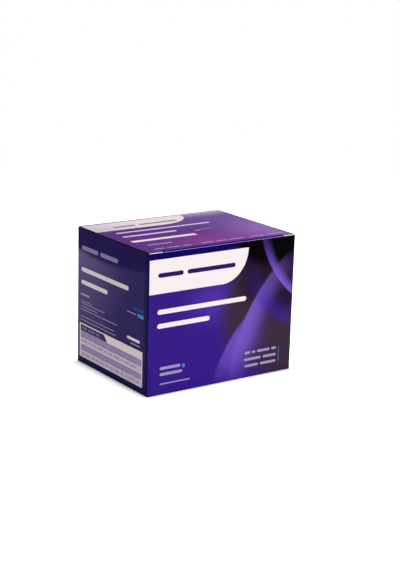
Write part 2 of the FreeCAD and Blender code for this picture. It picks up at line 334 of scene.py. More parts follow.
@dataclass(frozen=True)
class PrintedGround:
    """Boxboard with a ground and soft colour fields, printed offset and laminated with matt film;
    some fields are painted light.

    Its colour wears off in fine cracks along the rounded folds.
    """

    name: str
    panel: Panel
    ground: str
    fields: tuple[SoftSpot | SoftArc, ...]
    board_wave: float = 34.0
    film_texture: float = 0.7
    texture_share: float = 0.05
    relief: float = 0.12
    bare: str = "#CFC4DA"
    crack_size: float = 0.35
    crack_stretch: float = 5.0
    crack_levels: Point = (0.5, 0.62)
    worn_band: float = 0.5
    worn_share: float = 0.16

    def worn_folds(self, tree: Tree, place: Socket, colour: Socket | Rgba) -> Socket:
        """Lets the white board show in fine cracks along the panel's rounded folds.

        Args:
            tree: The material's node tree.
            place: The point on the print.
            colour: The printed colour.

        Returns:
            The colour with the cracks in it.
        """
        along = add(tree, "SeparateXYZ", [place], "X")
        half = self.panel.length / 2
        off_middle = add(tree, "Math", (along, half), operation="SUBTRACT")
        span = {
            "Value": add(tree, "Math", [off_middle], operation="ABSOLUTE"),
            "From Min": half - self.worn_band,
            "From Max": half,
            "To Max": self.worn_share,
        }
        near_fold = add(tree, "MapRange", span, interpolation_type="SMOOTHSTEP")
        flecks = grain(tree, place, self.crack_size, stretch=(1.0, self.crack_stretch, 1.0))
        start, end = self.crack_levels
        cracks = add(tree, "MapRange", {"Value": flecks, "From Min": start, "From Max": end})
        share = add(tree, "Math", (near_fold, cracks), operation="MULTIPLY")
        return overprint(tree, colour, self.bare, share)

    def build(self) -> Material:
        """Builds the material."""
        material, tree = new_material(self.name)
        place = self.panel.place(tree)
        colour: Socket | Rgba = linear(self.ground)
        for shape in self.fields:
            colour = overprint(tree, colour, shape.ink, shape.mask(tree, place))
        colour = self.worn_folds(tree, place, colour)
        body = object_millimetres(tree)
        wave = grain(tree, body, self.board_wave, detail=1.0)
        texture = grain(tree, body, self.film_texture, detail=1.0)
        terms = (texture, self.texture_share, wave)
        height = add(tree, "Math", terms, operation="MULTIPLY_ADD")
        finish_surface(tree, colour, MATT_FILM, height, self.relief)
        return material


@dataclass(frozen=True)
class Grained:
    """A finish of one colour, with a shade over it that follows a grain.

    The shade sets in between two levels of the grain, up to a share. The relief follows a
    finer texture, or the grain itself where there is none.
    """

    name: str
    ink: str
    shade: str
    lump: float
    stretch: Triple
    shaded: Triple
    gloss: Gloss
    relief: float
    texture: float | None = None

    def build(self) -> Material:
        """Builds the material."""
        material, tree = new_material(self.name)
        body = object_millimetres(tree)
        uneven = grain(tree, body, self.lump, self.stretch)
        start, end, share = self.shaded
        span = {"Value": uneven, "From Min": start, "From Max": end, "To Max": share}
        colour = overprint(tree, linear(self.ink), self.shade, add(tree, "MapRange", span))
        height = grain(tree, body, self.texture) if self.texture else uneven
        finish_surface(tree, colour, self.gloss, height, self.relief)
        return material


@dataclass(frozen=True)
class Ink(Grained):
    """A solid offset ink under the same matt film, with the faint mottle that solids have."""

    shade: str = "#1D1638"
    lump: float = 2.2
    stretch: Triple = (1.0, 1.0, 1.0)
    shaded: Triple = (0.35, 1.0, 0.03)
    gloss: Gloss = MATT_FILM
    relief: float = 0.006
    texture: float | None = 0.7


# The cut edge of boxboard: layers of pulp pressed flat and sliced by a steel rule.
CUT_BOARD = Grained(
    name="cut_edge_of_white_boxboard",
    ink="#F6ECF0",
    shade="#C4B4CA",
    lump=0.12,
    stretch=(8.0, 8.0, 1.0),
    shaded=(0.4, 0.7, 0.5),
    gloss=BARE_PULP,
    relief=0.03,
)
# Painted highlight: the front rim's cut edge between the tabs, tinted pale lilac and brightened
# where the edge catches light.
PAINTED_RIM_HIGHLIGHT = replace(CUT_BOARD, name="rim_edge_with_painted_highlight", ink="#F4CCFF", shade="#CCA6FF")
# Thermoformed clear film over white paper: milky, smooth and glossy, with faint draw marks.
BLISTER_FILM = Grained(
    name="thermoformed_blister_film",
    ink="#E4E9EE",
    shade="#C9D2DC",
    lump=3.0,
    stretch=(3.0, 1.0, 1.0),
    shaded=(0.0, 1.0, 1.0),
    gloss=FORMED_FILM,
    relief=0.05,
)

PrintInk = Ink | PrintedGround


@functools.cache
def ink_material(ink: PrintInk) -> Material:
    """Builds an ink's material once, so that every panel takes the same one."""
    return ink.build()


@dataclass(frozen=True)
class ReverseBoard:
    """The uncoated inside of the board: greyish pulp with darker flecks of recycled fibre."""

    name: str = "uncoated_reverse_of_boxboard"
    pulp: str = "#D6D0C8"
    cloud_shade: str = "#C3BBB0"
    fleck_shade: str = "#8F867C"
    fleck: float = 0.5
    flecked: Triple = (0.62, 0.72, 0.45)
    cloud: float = 6.0

    def build(self) -> Material:
        """Builds the material."""
        material, tree = new_material(self.name)
        body = object_millimetres(tree)
        clouds = grain(tree, body, self.cloud)
        flecks = grain(tree, body, self.fleck, detail=3.0)
        start, end, share = self.flecked
        span = {"Value": flecks, "From Min": start, "From Max": end, "To Max": share}
        colour = overprint(tree, linear(self.pulp), self.cloud_shade, clouds)
        colour = overprint(tree, colour, self.fleck_shade, add(tree, "MapRange", span))
        finish_surface(tree, colour, BARE_PULP, flecks, relief=0.02)
        return material


@dataclass(frozen=True)
class CoatedBoard:
    """The coated side of a flap that carries no print, past the ink that bleeds over its crease."""

    name: str
    bleed_axis: str
    bleed_from: float
    bleed_to: float
    bleed_ink: str = "#1C1440"
    coat: str = "#EDE9E6"
    shade: str = "#DDD8D6"
    cloud: float = 5.0
    ragged: float = 0.8
    ragged_reach: float = 0.25
    coat_texture: float = 1.2

    def build(self) -> Material:
        """Builds the material."""
        material, tree = new_material(self.name)
        body = object_millimetres(tree)
        axis = add(tree, "SeparateXYZ", [body], self.bleed_axis)
        size = add(tree, "Math", [axis], operation="ABSOLUTE")
        terms = (grain(tree, body, self.ragged), self.ragged_reach, size)
        span = {
            "Value": add(tree, "Math", terms, operation="MULTIPLY_ADD"),
            "From Min": self.bleed_from,
            "From Max": self.bleed_to,
        }
        colour = overprint(tree, linear(self.coat), self.shade, grain(tree, body, self.cloud))
        colour = overprint(tree, colour, self.bleed_ink, add(tree, "MapRange", span))
        finish_surface(tree, colour, CLAY_COAT, grain(tree, body, self.coat_texture), relief=0.01)
        return material


@dataclass(frozen=True)
class PackBar:
    """A plain bar printed on each pack: its middle and half size, from the hub end and the tear."""

    ink: str
    middle: Point
    half: Point


@dataclass(frozen=True)
class PeelPaper:
    """Medical peel paper: white uncoated fibre, heat sealed in a fine grid at both ends of each
    pack.
    """

    name: str = "medical_peel_paper"
    paper: str = "#F2F1EE"
    shade: str = "#DEDCD8"
    cloud: float = 1.4
    fibre: float = 0.6
    strip_front: float = -38.85
    pack_pitch: float = 15.91
    strip_end: float = 54.2
    hub_seal: float = 5.5
    peel_seal: float = 46.0
    seal_grid: float = 1.1
    seal_share: float = 0.8
    bars: tuple[PackBar, ...] = (
        PackBar("#4A2F94", (24.0, 11.0), (13.0, 1.3)),
        PackBar("#8C8798", (21.0, 7.6), (10.0, 0.45)),
        PackBar("#8C8798", (24.5, 5.6), (13.5, 0.45)),
        PackBar("#8C8798", (18.5, 3.7), (7.5, 0.45)),
        PackBar("#D9822B", (41.5, 11.0), (1.8, 1.3)),
    )

    def seal_relief(self, tree: Tree, along: Socket, body: Socket) -> Socket:
        """Builds the grid of the heat seal at both ends of a pack.

        Args:
            tree: The material's node tree.
            along: The distance from the hub end.
            body: The point in millimetres.

        Returns:
            A height from 0 to 1.
        """
        turn = (0.0, 0.0, math.radians(45))
        seat = {"Vector": body, "Rotation": turn, "Scale": (1 / self.seal_grid,) * 3}
        turned = add(tree, "Mapping", seat)
        cells = add(tree, "TexChecker", {"Vector": turned, "Scale": 1.0}, "Fac")
        middle = (self.hub_seal + self.peel_seal) / 2
        reach = (self.peel_seal - self.hub_seal) / 2
        opening = add(tree, "Math", (along, middle, reach), operation="COMPARE")
        sealed = add(tree, "Math", (1.0, opening), operation="SUBTRACT")
        return add(tree, "Math", (sealed, cells), operation="MULTIPLY")

    def build(self) -> Material:
        """Builds the material."""
        material, tree = new_material(self.name)
        body = object_millimetres(tree)
        axes = add(tree, "SeparateXYZ", [body]).node.outputs
        off_middle = add(tree, "Math", [axes["X"]], operation="ABSOLUTE")
        along = add(tree, "Math", (self.strip_end, off_middle), operation="SUBTRACT")
        shifted = add(tree, "Math", (axes["Y"], self.strip_front), operation="SUBTRACT")
        across = add(tree, "Math", (shifted, self.pack_pitch), operation="MODULO")
        clouds = grain(tree, body, self.cloud, detail=4.0)
        colour = overprint(tree, linear(self.paper), self.shade, clouds)
        for bar in self.bars:
            spans = zip((along, across), bar.middle, bar.half)
            sides = [add(tree, "Math", span, operation="COMPARE") for span in spans]
            inked = add(tree, "Math", sides, operation="MULTIPLY")
            colour = overprint(tree, colour, bar.ink, inked)
        seal = self.seal_relief(tree, along, body)
        terms = (seal, self.seal_share, grain(tree, body, self.fibre))
        height = add(tree, "Math", terms, operation="MULTIPLY_ADD")
        finish_surface(tree, colour, BARE_PULP, height, relief=0.03)
        return material


class Side(Enum):
    """The kinds of surface that the solids show, each with a finish of its own."""

    FRONT = auto()
    LEFT = auto()
    RIGHT = auto()
    BACK = auto()
    LID = auto()
    BASE = auto()
    COATED = auto()
    REVERSE = auto()
    CUT = auto()
    RUBBED = auto()
    PAPER = auto()
    FILM = auto()


@dataclass(frozen=True)
class Film:
    """One flat piece of ink: its outline on the panel, counter-clockwise, its ink and its pass."""

    outline: tuple[Point, ...]
    ink: PrintInk
    level: int = 0

    def over(self, passes: int = 1) -> "Film":
        """Gives the same film on top of as many others as there are passes below it."""
        return replace(self, level=passes)


def bar(edges: Edges, ink: PrintInk) -> Film:
    """Makes a bar with square corners.

    Args:
        edges: Where it starts and ends along the panel, its lower and its upper edge.
        ink: Its ink.

    Returns:
        The film.
    """
    left, right, low, high = edges
    return Film(((left, low), (right, low), (right, high), (left, high)), ink)


def pill(edges: Edges, ink: PrintInk) -> Film:
    """Makes a plain bar with round ends, which stands where a word would be.

    Args:
        edges: Where it starts and ends along the panel, its lower and its upper edge.
        ink: Its ink.

    Returns:
        The film.
    """
    left, right, low, high = edges
    steps = 6
    shortest_edge = 1e-4
    radius = min(high - low, right - left) / 2
    outline = []
    for across, up, start in (
        (right - radius, low + radius, -90.0),
        (right - radius, high - radius, 0.0),
        (left + radius, high - radius, 90.0),
        (left + radius, low + radius, 180.0),
    ):
        for step in range(steps + 1):
            turn = math.radians(start + 90 * step / steps)
            outline.append((across + radius * math.cos(turn), up + radius * math.sin(turn)))
    ends = zip(outline, outline[1:] + outline[:1])
    return Film(tuple(a for a, b in ends if math.dist(a, b) > shortest_edge), ink)


def rounded_tab(edges: Edges, sweep: float, ink: PrintInk) -> Film:
    """Makes a bar whose far end sweeps up from the lower edge in a quarter of an ellipse.

    Args:
        edges: Where its upper edge starts and ends along the panel, its lower and upper edge.
        sweep: How much shorter the lower edge is.
        ink: Its ink.

    Returns:
        The film.
    """
    left, right, low, high = edges
    steps = 28
    curve = []
    for step in range(steps + 1):
        turn = math.pi / 2 * step / steps
        curve.append((right - sweep + sweep * math.sin(turn), high - (high - low) * math.cos(turn)))
    return Film(((left, low), *curve, (left, high)), ink)


def words_in(room: float, lengths: tuple[float, ...], gap: float) -> Iterable[Point]:
    """Divides a line into stretches as long as words, for bars that stand where words would be.

    Args:
        room: How long the line is.
        lengths: The lengths of the stretches, taken in turn.
        gap: The space between two of them.

    Yields:
        The start and the end of each stretch, counted from the start of the line.
    """
    start = 0.0
    for length in itertools.cycle(lengths):
        if start + length > room:
            return
        yield start, start + length
        start += length + gap


@dataclass
class InkLayer:
    """All the ink of one panel as one piece, in films that are closed and follow the folds."""

    name: str
    panel: Panel
    body: str = "carton"
    thickness: float = 0.012
    bite: float = 0.004
    level_step: float = 0.007
    fold_steps: int = 4

    def films(self) -> list[Film]:
        """Lists the ink on the panel, which each kind of print has of its own."""
        raise NotImplementedError

    def on_board(self, flat: Vector) -> Vector:
        """Puts a point of the flat print on the board, round the fold at its ends.

        Args:
            flat: Length along, height, and distance out of the board.

        Returns:
            The point in the frame of the solids, in millimetres.
        """
        panel = self.panel
        middle = panel.length / 2
        side = -1 if flat.x < middle else 1
        folded = panel.folds[side > 0]
        past = abs(flat.x - middle) - (middle - FOLD_RADIUS)
        if not folded or past <= 0:
            reach = flat.x
            out = flat.z
        else:
            turn = past / FOLD_RADIUS
            radius = FOLD_RADIUS + flat.z
            reach = middle + side * (middle - FOLD_RADIUS + radius * math.sin(turn))
            out = radius * math.cos(turn) - FOLD_RADIUS
        return panel.corner + panel.along * reach + panel.up * flat.y + panel.normal * out

    def fold_lines(self) -> list[float]:
        """Lists the lengths at which a film is divided so that it can bend."""
        step = FOLD_RADIUS * math.pi / 4 / self.fold_steps
        starts = [FOLD_RADIUS - step * count for count in range(self.fold_steps)]
        return starts + [self.panel.length - start for start in starts]

    def build(self) -> bpy.types.Object:
        """Builds the piece and lets it ride on its body."""
        films = self.films()
        inks = list(dict.fromkeys(film.ink for film in films))
        mesh = bpy.data.meshes.new(self.name)
        shape = bmesh.new()
        for film in films:
            floor = film.level * self.level_step - self.bite
            corners = [shape.verts.new((u, v, floor)) for u, v in film.outline]
            shape.faces.new(corners).material_index = inks.index(film.ink)
        for length in self.fold_lines():
            bmesh.ops.bisect_plane(
                shape,
                geom=[*shape.verts, *shape.edges, *shape.faces],
                plane_co=(length, 0, 0),
                plane_no=(1, 0, 0),
            )
        raised = bmesh.ops.extrude_face_region(shape, geom=list(shape.faces), use_keep_orig=True)
        for part in raised["geom"]:
            if isinstance(part, bmesh.types.BMVert):
                part.co.z += self.bite + self.thickness
        for vertex in shape.verts:
            vertex.co = self.on_board(vertex.co.copy()) * MM
        bmesh.ops.triangulate(shape, faces=list(shape.faces))
        bmesh.ops.recalc_face_normals(shape, faces=list(shape.faces))
        shape.to_mesh(mesh)
        shape.free()
        piece = bpy.data.objects.new(self.name, mesh)
        for ink in inks:
            mesh.materials.append(ink_material(ink))
        bpy.context.scene.collection.objects.link(piece)
        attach(piece, self.body)
        return piece


# The white of the board itself, left open in the print and seen through the film.
OPEN_WHITE = Ink("board_white_under_film", "#FBF2F1")
# On the shaded panels the same white is printed over with a light screen of warm grey.
SCREEN_CREAM = Ink("warm_grey_screen_ink", "#E9DCDA")
ROW_GREY = Ink("row_grey_screen_ink", "#D2C6C6")
SCREEN_LILAC = Ink("lilac_screen_ink", "#A292BC")
HEADER_VIOLET = Ink("header_violet_ink", "#40306A")
PALE_LILAC = Ink("pale_lilac_ink", "#D9C9E6")
DEEP_VIOLET = Ink("deep_violet_ink", "#2A1A63")
SKY_BLUE = Ink("sky_blue_ink", "#3E8FD0")
MID_BLUE = Ink("mid_blue_ink", "#2C3F93")
ROSE_PINK = Ink("rose_pink_ink", "#EE62B2")
MID_VIOLET = Ink("mid_violet_ink", "#8C7FA6")
SLATE_VIOLET = Ink("slate_violet_ink", "#74668E")
MUTED_LILAC = Ink("muted_lilac_ink", "#8F80A8")
DUSTY_LILAC = Ink("dusty_lilac_ink", "#A896C4")
# The lid's open white with painted shade: written greyer than the front's white, and darker still
# towards the left.
SHADED_LID_WHITE = PrintedGround(
    name="lid_white_with_painted_shade",
    panel=Panel.LID,
    ground="#EBE0E2",
    fields=(SoftSpot((0.0, 66.0), (46.0, 30.0), ink="#CDBFC9", strength=0.9),),
)


@dataclass
class TitledPrint(InkLayer):
    """A print with a white tab that holds two words, and two titles: plain bars for all four."""

    tab: Edges = (0.13, 73.2, 64.3, 85.5)
    tab_sweep: float = 19.4
    tab_ink: PrintInk = OPEN_WHITE
    words: tuple[Edges, ...] = ((6.2, 24.6, 74.2, 77.0), (27.4, 63.4, 74.2, 77.0))
    word_ink: PrintInk = DEEP_VIOLET
    titles: tuple[Edges, ...] = ((6.2, 72.6, 51.3, 54.3), (6.2, 44.8, 42.5, 45.5))
    title_ink: PrintInk = OPEN_WHITE

    def films(self) -> list[Film]:
        """Lists the tab, its words and the titles."""
        films = [rounded_tab(self.tab, self.tab_sweep, self.tab_ink)]
        films.extend(pill(edges, self.word_ink).over() for edges in self.words)
        films.extend(pill(edges, self.title_ink) for edges in self.titles)
        return films


@dataclass
class FrontPrint(TitledPrint):
    """The print of the front panel, which also has blocks of small lines and an upright rule."""

    note_height: float = 1.7
    rule: Edges = (100.1, 100.5, 7.4, 17.0)

    def films(self) -> list[Film]:
        """Lists all the ink on the panel."""
        films = super().films()
        for *edges, ink in (
            (8.6, 23.8, 16.1, 17.9, DUSTY_LILAC),
            (25.0, 27.2, 15.2, 17.6, SKY_BLUE),
            (8.6, 25.2, 12.3, 14.1, DUSTY_LILAC),
            (8.7, 31.2, 6.6, 7.4, DUSTY_LILAC),
        ):
            films.append(pill(edges, ink))
        for low, words in (
            (15.6, ((73.0, 77.4), (78.8, 81.4), (82.8, 92.8), (94.2, 98.2))),
            (11.2, ((72.6, 86.0), (87.6, 98.2))),
            (6.9, ((73.2, 84.0), (85.4, 98.2))),
        ):
            high = low + self.note_height
            films.extend(pill((*ends, low, high), DUSTY_LILAC) for ends in words)
        films.append(bar(self.rule, SKY_BLUE))
        return films


@dataclass
class LidPrint(TitledPrint):
    """The print of the lid, which also has a white strip, an accent and a line of small words."""

    tab: Edges = (0.85, 76.8, 62.2, 82.1)
    tab_sweep: float = 25.6
    tab_ink: PrintInk = SHADED_LID_WHITE
    words: tuple[Edges, ...] = ((17.0, 34.0, 68.1, 71.3), (36.5, 66.0, 68.1, 71.3))
    word_ink: PrintInk = MID_VIOLET
    titles: tuple[Edges, ...] = ((10.0, 81.4, 53.1, 55.7), (8.4, 48.4, 42.4, 45.2))
    title_ink: PrintInk = PALE_LILAC
    strip: Edges = (6.6, 54.0, 28.2, 32.4)
    detail: Edges = (10.2, 28.4, 17.6, 19.4)
    accent: Edges = (59.0, 62.6, 37.2, 39.6)
    rule: Edges = (63.4, 72.4, 39.4, 39.9)
    note_rows: Point = (7.2, 8.6)
    notes: tuple[Point, ...] = (
        (8.0, 16.0), (17.5, 27.0), (28.5, 35.0), (43.0, 52.0),
        (53.5, 62.0), (63.5, 75.0), (80.0, 91.0), (92.5, 106.0),
    )

    def films(self) -> list[Film]:
        """Lists all the ink on the panel."""
        return [
            *super().films(),
            bar(self.strip, SHADED_LID_WHITE),
            pill(self.detail, DUSTY_LILAC),
            pill(self.accent, ROSE_PINK),
            bar(self.rule, PALE_LILAC),
            *(pill((*ends, *self.note_rows), DUSTY_LILAC) for ends in self.notes),
        ]


@dataclass
class SidePrint(InkLayer):
    """The print of a side panel: title bars, an accent, small lines and a ruled table."""

    table: Edges = (6.3, 81.4, 4.4, 27.0)
    row_inset: Point = (1.0, 1.2)
    header_slant: tuple[Point, ...] = ((47.4, 22.03), (50.5, 25.7), (51.8, 26.2))
    header_words: Edges = (56.6, 78.6, 23.2, 24.9)
    word_inset: float = 1.4
    word_gap: float = 1.4

    def table_films(self) -> list[Film]:
        """Lists the frame, the header, the rows and the small lines of the table."""
        inner = self.table[0] + self.row_inset[0]
        outer = self.table[1] - self.row_inset[1]
        foot, knee, top = self.header_slant
        slant = (foot, (outer, foot[1]), (outer, top[1]), top, knee)
        films = [bar(self.table, SCREEN_CREAM), Film(slant, HEADER_VIOLET).over()]
        near, reach, low, high = self.header_words
        for start, end in words_in(reach - near, (6.0, 9.0, 4.0), self.word_gap):
            films.append(bar((reach - end, reach - start, low, high), SLATE_VIOLET).over(2))
        for low, high, ink in (
            (17.4, 22.0, SCREEN_LILAC),
            (14.33, 17.37, ROW_GREY),
            (14.0, 14.3, MUTED_LILAC),
            (8.8, 13.2, SCREEN_LILAC),
            (5.53, 8.77, ROW_GREY),
            (5.2, 5.5, MUTED_LILAC),
        ):
            films.append(bar((inner, outer, low, high), ink).over())
        room = outer - inner - 2 * self.word_inset
        reach = outer - self.word_inset
        for height, half, ink, lengths in (
            (20.6, 0.4, MUTED_LILAC, (6.0, 3.5, 8.0)),
            (18.7, 0.4, MUTED_LILAC, (9.0, 5.0, 4.0)),
            (15.6, 0.6, SCREEN_LILAC, (7.0, 3.0, 5.5)),
            (12.0, 0.4, MUTED_LILAC, (5.0, 8.0, 3.0)),
            (10.0, 0.4, MUTED_LILAC, (4.0, 7.0, 9.0)),
            (6.8, 0.6, SCREEN_LILAC, (3.0, 6.5, 4.0)),
        ):
            for start, end in words_in(room, lengths, self.word_gap):
                word = (reach - end, reach - start, height - half, height + half)
                films.append(bar(word, ink).over(2))
        return films

    def films(self) -> list[Film]:
        """Lists the ink on the panel."""
        films = self.table_films()
        for *edges, ink in (
            (35.6, 56.5, 75.9, 78.7, MUTED_LILAC),
            (59.0, 79.2, 75.9, 78.7, MUTED_LILAC),
            (23.0, 79.6, 61.7, 64.5, SCREEN_CREAM),
            (47.4, 79.6, 53.3, 56.1, SCREEN_CREAM),
            (69.4, 80.4, 45.8, 47.2, SCREEN_LILAC),
            (66.0, 80.4, 41.85, 42.55, MUTED_LILAC),
            (51.0, 80.4, 40.25, 40.95, MUTED_LILAC),
            (59.8, 80.4, 38.05, 38.75, MUTED_LILAC),
            (36.0, 80.4, 36.15, 36.85, MUTED_LILAC),
            (39.2, 80.4, 31.45, 32.15, MUTED_LILAC),
            (36.8, 80.4, 29.05, 29.75, MUTED_LILAC),
            (9.6, 24.0, 31.6, 33.4, SCREEN_CREAM),
            (9.6, 20.0, 29.2, 30.0, SCREEN_LILAC),
            (5.4, 17.0, 51.4, 53.6, MID_BLUE),
            (5.4, 12.4, 47.8, 50.0, SKY_BLUE),
            (14.0, 24.2, 48.6, 49.2, SCREEN_LILAC),
        ):
            films.append(pill(edges, ink))
        return films


# Light near the middle of the front and the back.
TITLE_GLOW = SoftSpot((50.0, 54.0), (34.0, 22.0), ink="#5835AC", strength=0.8)

LOWER_WINDOW = Ellipse((66.0, 24.0), (34.0, 36.0))
UPPER_WINDOW = Ellipse((104.0, 64.0), (36.0, 48.0))
WIDE_WINDOW = Ellipse((84.0, 38.0), (48.0, 56.0), strength=0.9)

FRONT_GROUND = PrintedGround(
    name="laminated_front_print",
    panel=Panel.FRONT,
    ground="#371E86",
    fields=(
        TITLE_GLOW,
        SoftSpot((118.0, 44.0), (72.0, 56.0), ink="#3C2A3D", fade=0.25),
        SoftSpot((104.0, 70.0), (48.0, 36.0), ink="#27162C", fade=0.4),
        SoftSpot((10.0, 100.0), (90.0, 22.0), ink="#0E0560", fade=0.25),
        SoftSpot((94.0, 92.0), (38.0, 24.0), ink="#010003", fade=0.35),
        SoftArc("#6E4CC0", (142.0, -30.0), 98.0, 34.0, 2.2, LOWER_WINDOW),
        SoftArc("#7C5CC8", (176.0, -14.0), 116.0, 17.0, 1.6, WIDE_WINDOW),
        SoftArc("#4422AE", (150.0, 112.0), 92.0, 14.0, 1.8, UPPER_WINDOW),
        SoftArc("#7A58CE", (154.0, 108.0), 72.0, 7.0, 1.2, UPPER_WINDOW),
    ),
)

BACK_GROUND = replace(
    FRONT_GROUND,
    name="laminated_back_print",
    panel=Panel.BACK,
    fields=(
        TITLE_GLOW,
        SoftSpot((118.0, 30.0), (60.0, 80.0), ink="#2B1B44", fade=0.6),
        SoftSpot((40.0, 98.0), (110.0, 14.0), ink="#0E0560", fade=0.3),
    ),
)

LEFT_GROUND = PrintedGround(
    name="laminated_left_print_with_painted_light",
    panel=Panel.LEFT,
    ground="#30245C",
    fields=(
        # Painted reflection: the two lighter fields, towards the back and at the middle, stand in
        # for the film's sheen.
        SoftSpot((96.0, 74.0), (84.0, 66.0), ink="#6F5F96", strength=0.95),
        SoftSpot((96.0, 34.0), (60.0, 44.0), ink="#54456F", strength=0.7),
        SoftSpot((50.0, 102.0), (88.0, 31.0), ink="#1E1050", fade=0.14),
        # The dark band along the foot is painted too: less of that sheen near the floor.
        SoftSpot((40.0, -6.0), (160.0, 14.0), ink="#0E033A", fade=0.6),
        SoftSpot((-2.0, 40.0), (9.5, 160.0), ink="#0A0244", fade=0.7),
        # Painted shade: a thin near-black line along the panel's upper edge, on the crease of the
        # dust flap beside the lid.
        SoftSpot((42.0, 91.2), (600.0, 2.4), ink="#040208", fade=0.4),
    ),
)

# The right panel takes the same fields, painted light included.
RIGHT_GROUND = replace(LEFT_GROUND, name="laminated_right_print_with_painted_light", panel=Panel.RIGHT)

# Painted shade: the lid darkens towards its bend, only between the two tabs that stay flat.
BETWEEN_TABS = Ellipse((55.0, 0.0), (46.9, 60.0), fade=0.04)

LID_GROUND = PrintedGround(
    name="laminated_lid_print_with_painted_light",
    panel=Panel.LID,
    ground="#541F7A",
    fields=(
        SoftSpot((58.0, 6.0), (62.0, 42.0), ink="#843690", strength=0.9),
        # Painted sheen: the lighter fields towards the back and the right, and the pale band along
        # the back edge.
        SoftSpot((104.0, 78.0), (84.0, 66.0), ink="#6C4E96"),
        SoftSpot((116.0, 22.0), (58.0, 52.0), ink="#9A6CB8", strength=0.95),
        SoftSpot((106.0, 90.0), (110.0, 22.0), ink="#CFC6DE", strength=0.9),
        # Painted shade along the bend.
        SoftArc("#280060", (55.0, -3000.0), 3001.0, 100.0, 5.5, BETWEEN_TABS),
    ),
)


# How much of a face's normal has to point one way: a little, half of it, or nearly all.
PARTLY = 0.3
HALFWAY = 0.5
SQUARELY = 0.9
# How far a face may stand off the edge that it belongs to.
SLACK = 0.05


def carton_side(middle: Vector, normal: Vector) -> Side:
    """Tells which surface of the carton a face belongs to.

    Args:
        middle: The face's middle.
        normal: The face's normal.

    Returns:
        The kind of surface.
    """
    near_skin = 0.58
    base_skin = 0.1
    base_inside = 0.3
    base_top = 1.1
    crease_start = LID_SIDE + 0.1
    crease_foot = RIM + 0.01
    across_crease = 0.7
    straight_down = 0.99
    flap_foot = RIM - BOARD - 0.1
    glue_flap = DEPTH / 2 - 2.1 * BOARD
    outward = {
        Side.FRONT: (-normal.y, -middle.y - DEPTH / 2),
        Side.BACK: (normal.y, middle.y - DEPTH / 2),
        Side.LEFT: (-normal.x, -middle.x - WIDTH / 2),
        Side.RIGHT: (normal.x, middle.x - WIDTH / 2),
        Side.BASE: (-normal.z, -middle.z),
    }
    at_skin = {side: faces for side, (faces, depth) in outward.items() if depth > -near_skin}
    side, faces = max(at_skin.items(), key=lambda pair: pair[1], default=(Side.CUT, 0.0))
    # The dust flap's crease takes its side's print, with the painted shade line on it.
    on_side_crease = abs(middle.x) > crease_start and middle.z > crease_foot
    if on_side_crease and abs(normal.y) < across_crease:
        return Side.LEFT if middle.x < 0 else Side.RIGHT
    at_rim = middle.z > RIM - SLACK
    on_front_rim = at_rim and middle.y < -DEPTH / 2 + BOARD
    # The front rim between the tabs takes the painted highlight.
    if on_front_rim and abs(middle.x) < TAB_START and normal.z > HALFWAY:
        return Side.RUBBED
    above_base = middle.z > base_skin and normal.z < -straight_down
    if faces > PARTLY and not (side is Side.BASE and above_base):
        return side
    if at_rim and normal.z > SQUARELY:
        on_flap = abs(middle.x) < LID_SIDE and abs(middle.y) < DEPTH / 2 - BOARD
        return Side.COATED if on_flap else Side.CUT
    in_back_crease = middle.y > DEPTH / 2 - BOARD and middle.z > RIM and normal.y < -PARTLY
    flat = middle.z > base_inside and abs(normal.z) > SQUARELY
    flat_inside = flat and (middle.z < base_top or normal.z < 0)
    glue_flap_cut = middle.y > glue_flap and abs(normal.y) < HALFWAY
    wall_inside = base_top < middle.z < flap_foot and not glue_flap_cut
    return Side.REVERSE if in_back_crease or flat_inside or wall_inside else Side.CUT


def lid_side(middle: Vector, normal: Vector) -> Side:
    """Tells which surface of the lid a face belongs to.

    Args:
        middle: The face's middle.
        normal: The face's normal.

    Returns:
        The kind of surface.
    """
    bend_foot = HEIGHT - TUCK_BEND - 0.2
    if abs(normal.x) > HALFWAY or middle.y < -DEPTH / 2 + SLACK:
        return Side.CUT
    if normal.z > PARTLY or (middle.z > bend_foot and normal.y < -PARTLY):
        return Side.LID
    on_flap = middle.z < RIM - TUCK_BEND
    if on_flap and normal.y < -SQUARELY:
        return Side.COATED
    if on_flap and abs(normal.y) < SQUARELY:
        return Side.CUT
    return Side.REVERSE


def strip_side(paper_foot: float, middle: Vector, normal: Vector) -> Side:
    """Tells which surface of a strip a face belongs to.

    Args:
        paper_foot: How high the underside of its paper lies.
        middle: The face's middle.
        normal: The face's normal.

    Returns:
        The kind of surface.
    """
    on_paper = normal.z > HALFWAY and middle.z > paper_foot
    return Side.PAPER if on_paper else Side.FILM


@dataclass
class Solid:
    """Gives each surface of a solid the finish that it has.

    Its rule tells the kind of surface from a face's middle, in millimetres, and its normal.
    """

    node: str
    rule: Callable[[Vector, Vector], Side]

    def dress(self, finishes: dict[Side, Material]) -> int:
        """Assigns the finishes, face by face.

        Args:
            finishes: A material for each kind of surface.

        Returns:
            How many kinds of surface the solid shows.
        """
        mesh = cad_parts[self.node].data
        mesh.materials.clear()
        kinds = [self.rule(face.center / MM, face.normal) for face in mesh.polygons]
        shown = [kind for kind in Side if kind in kinds]
        for kind in shown:
            mesh.materials.append(finishes[kind])
        mesh.polygons.foreach_set("material_index", [shown.index(kind) for kind in kinds])
        mesh.update()
        return len(shown)


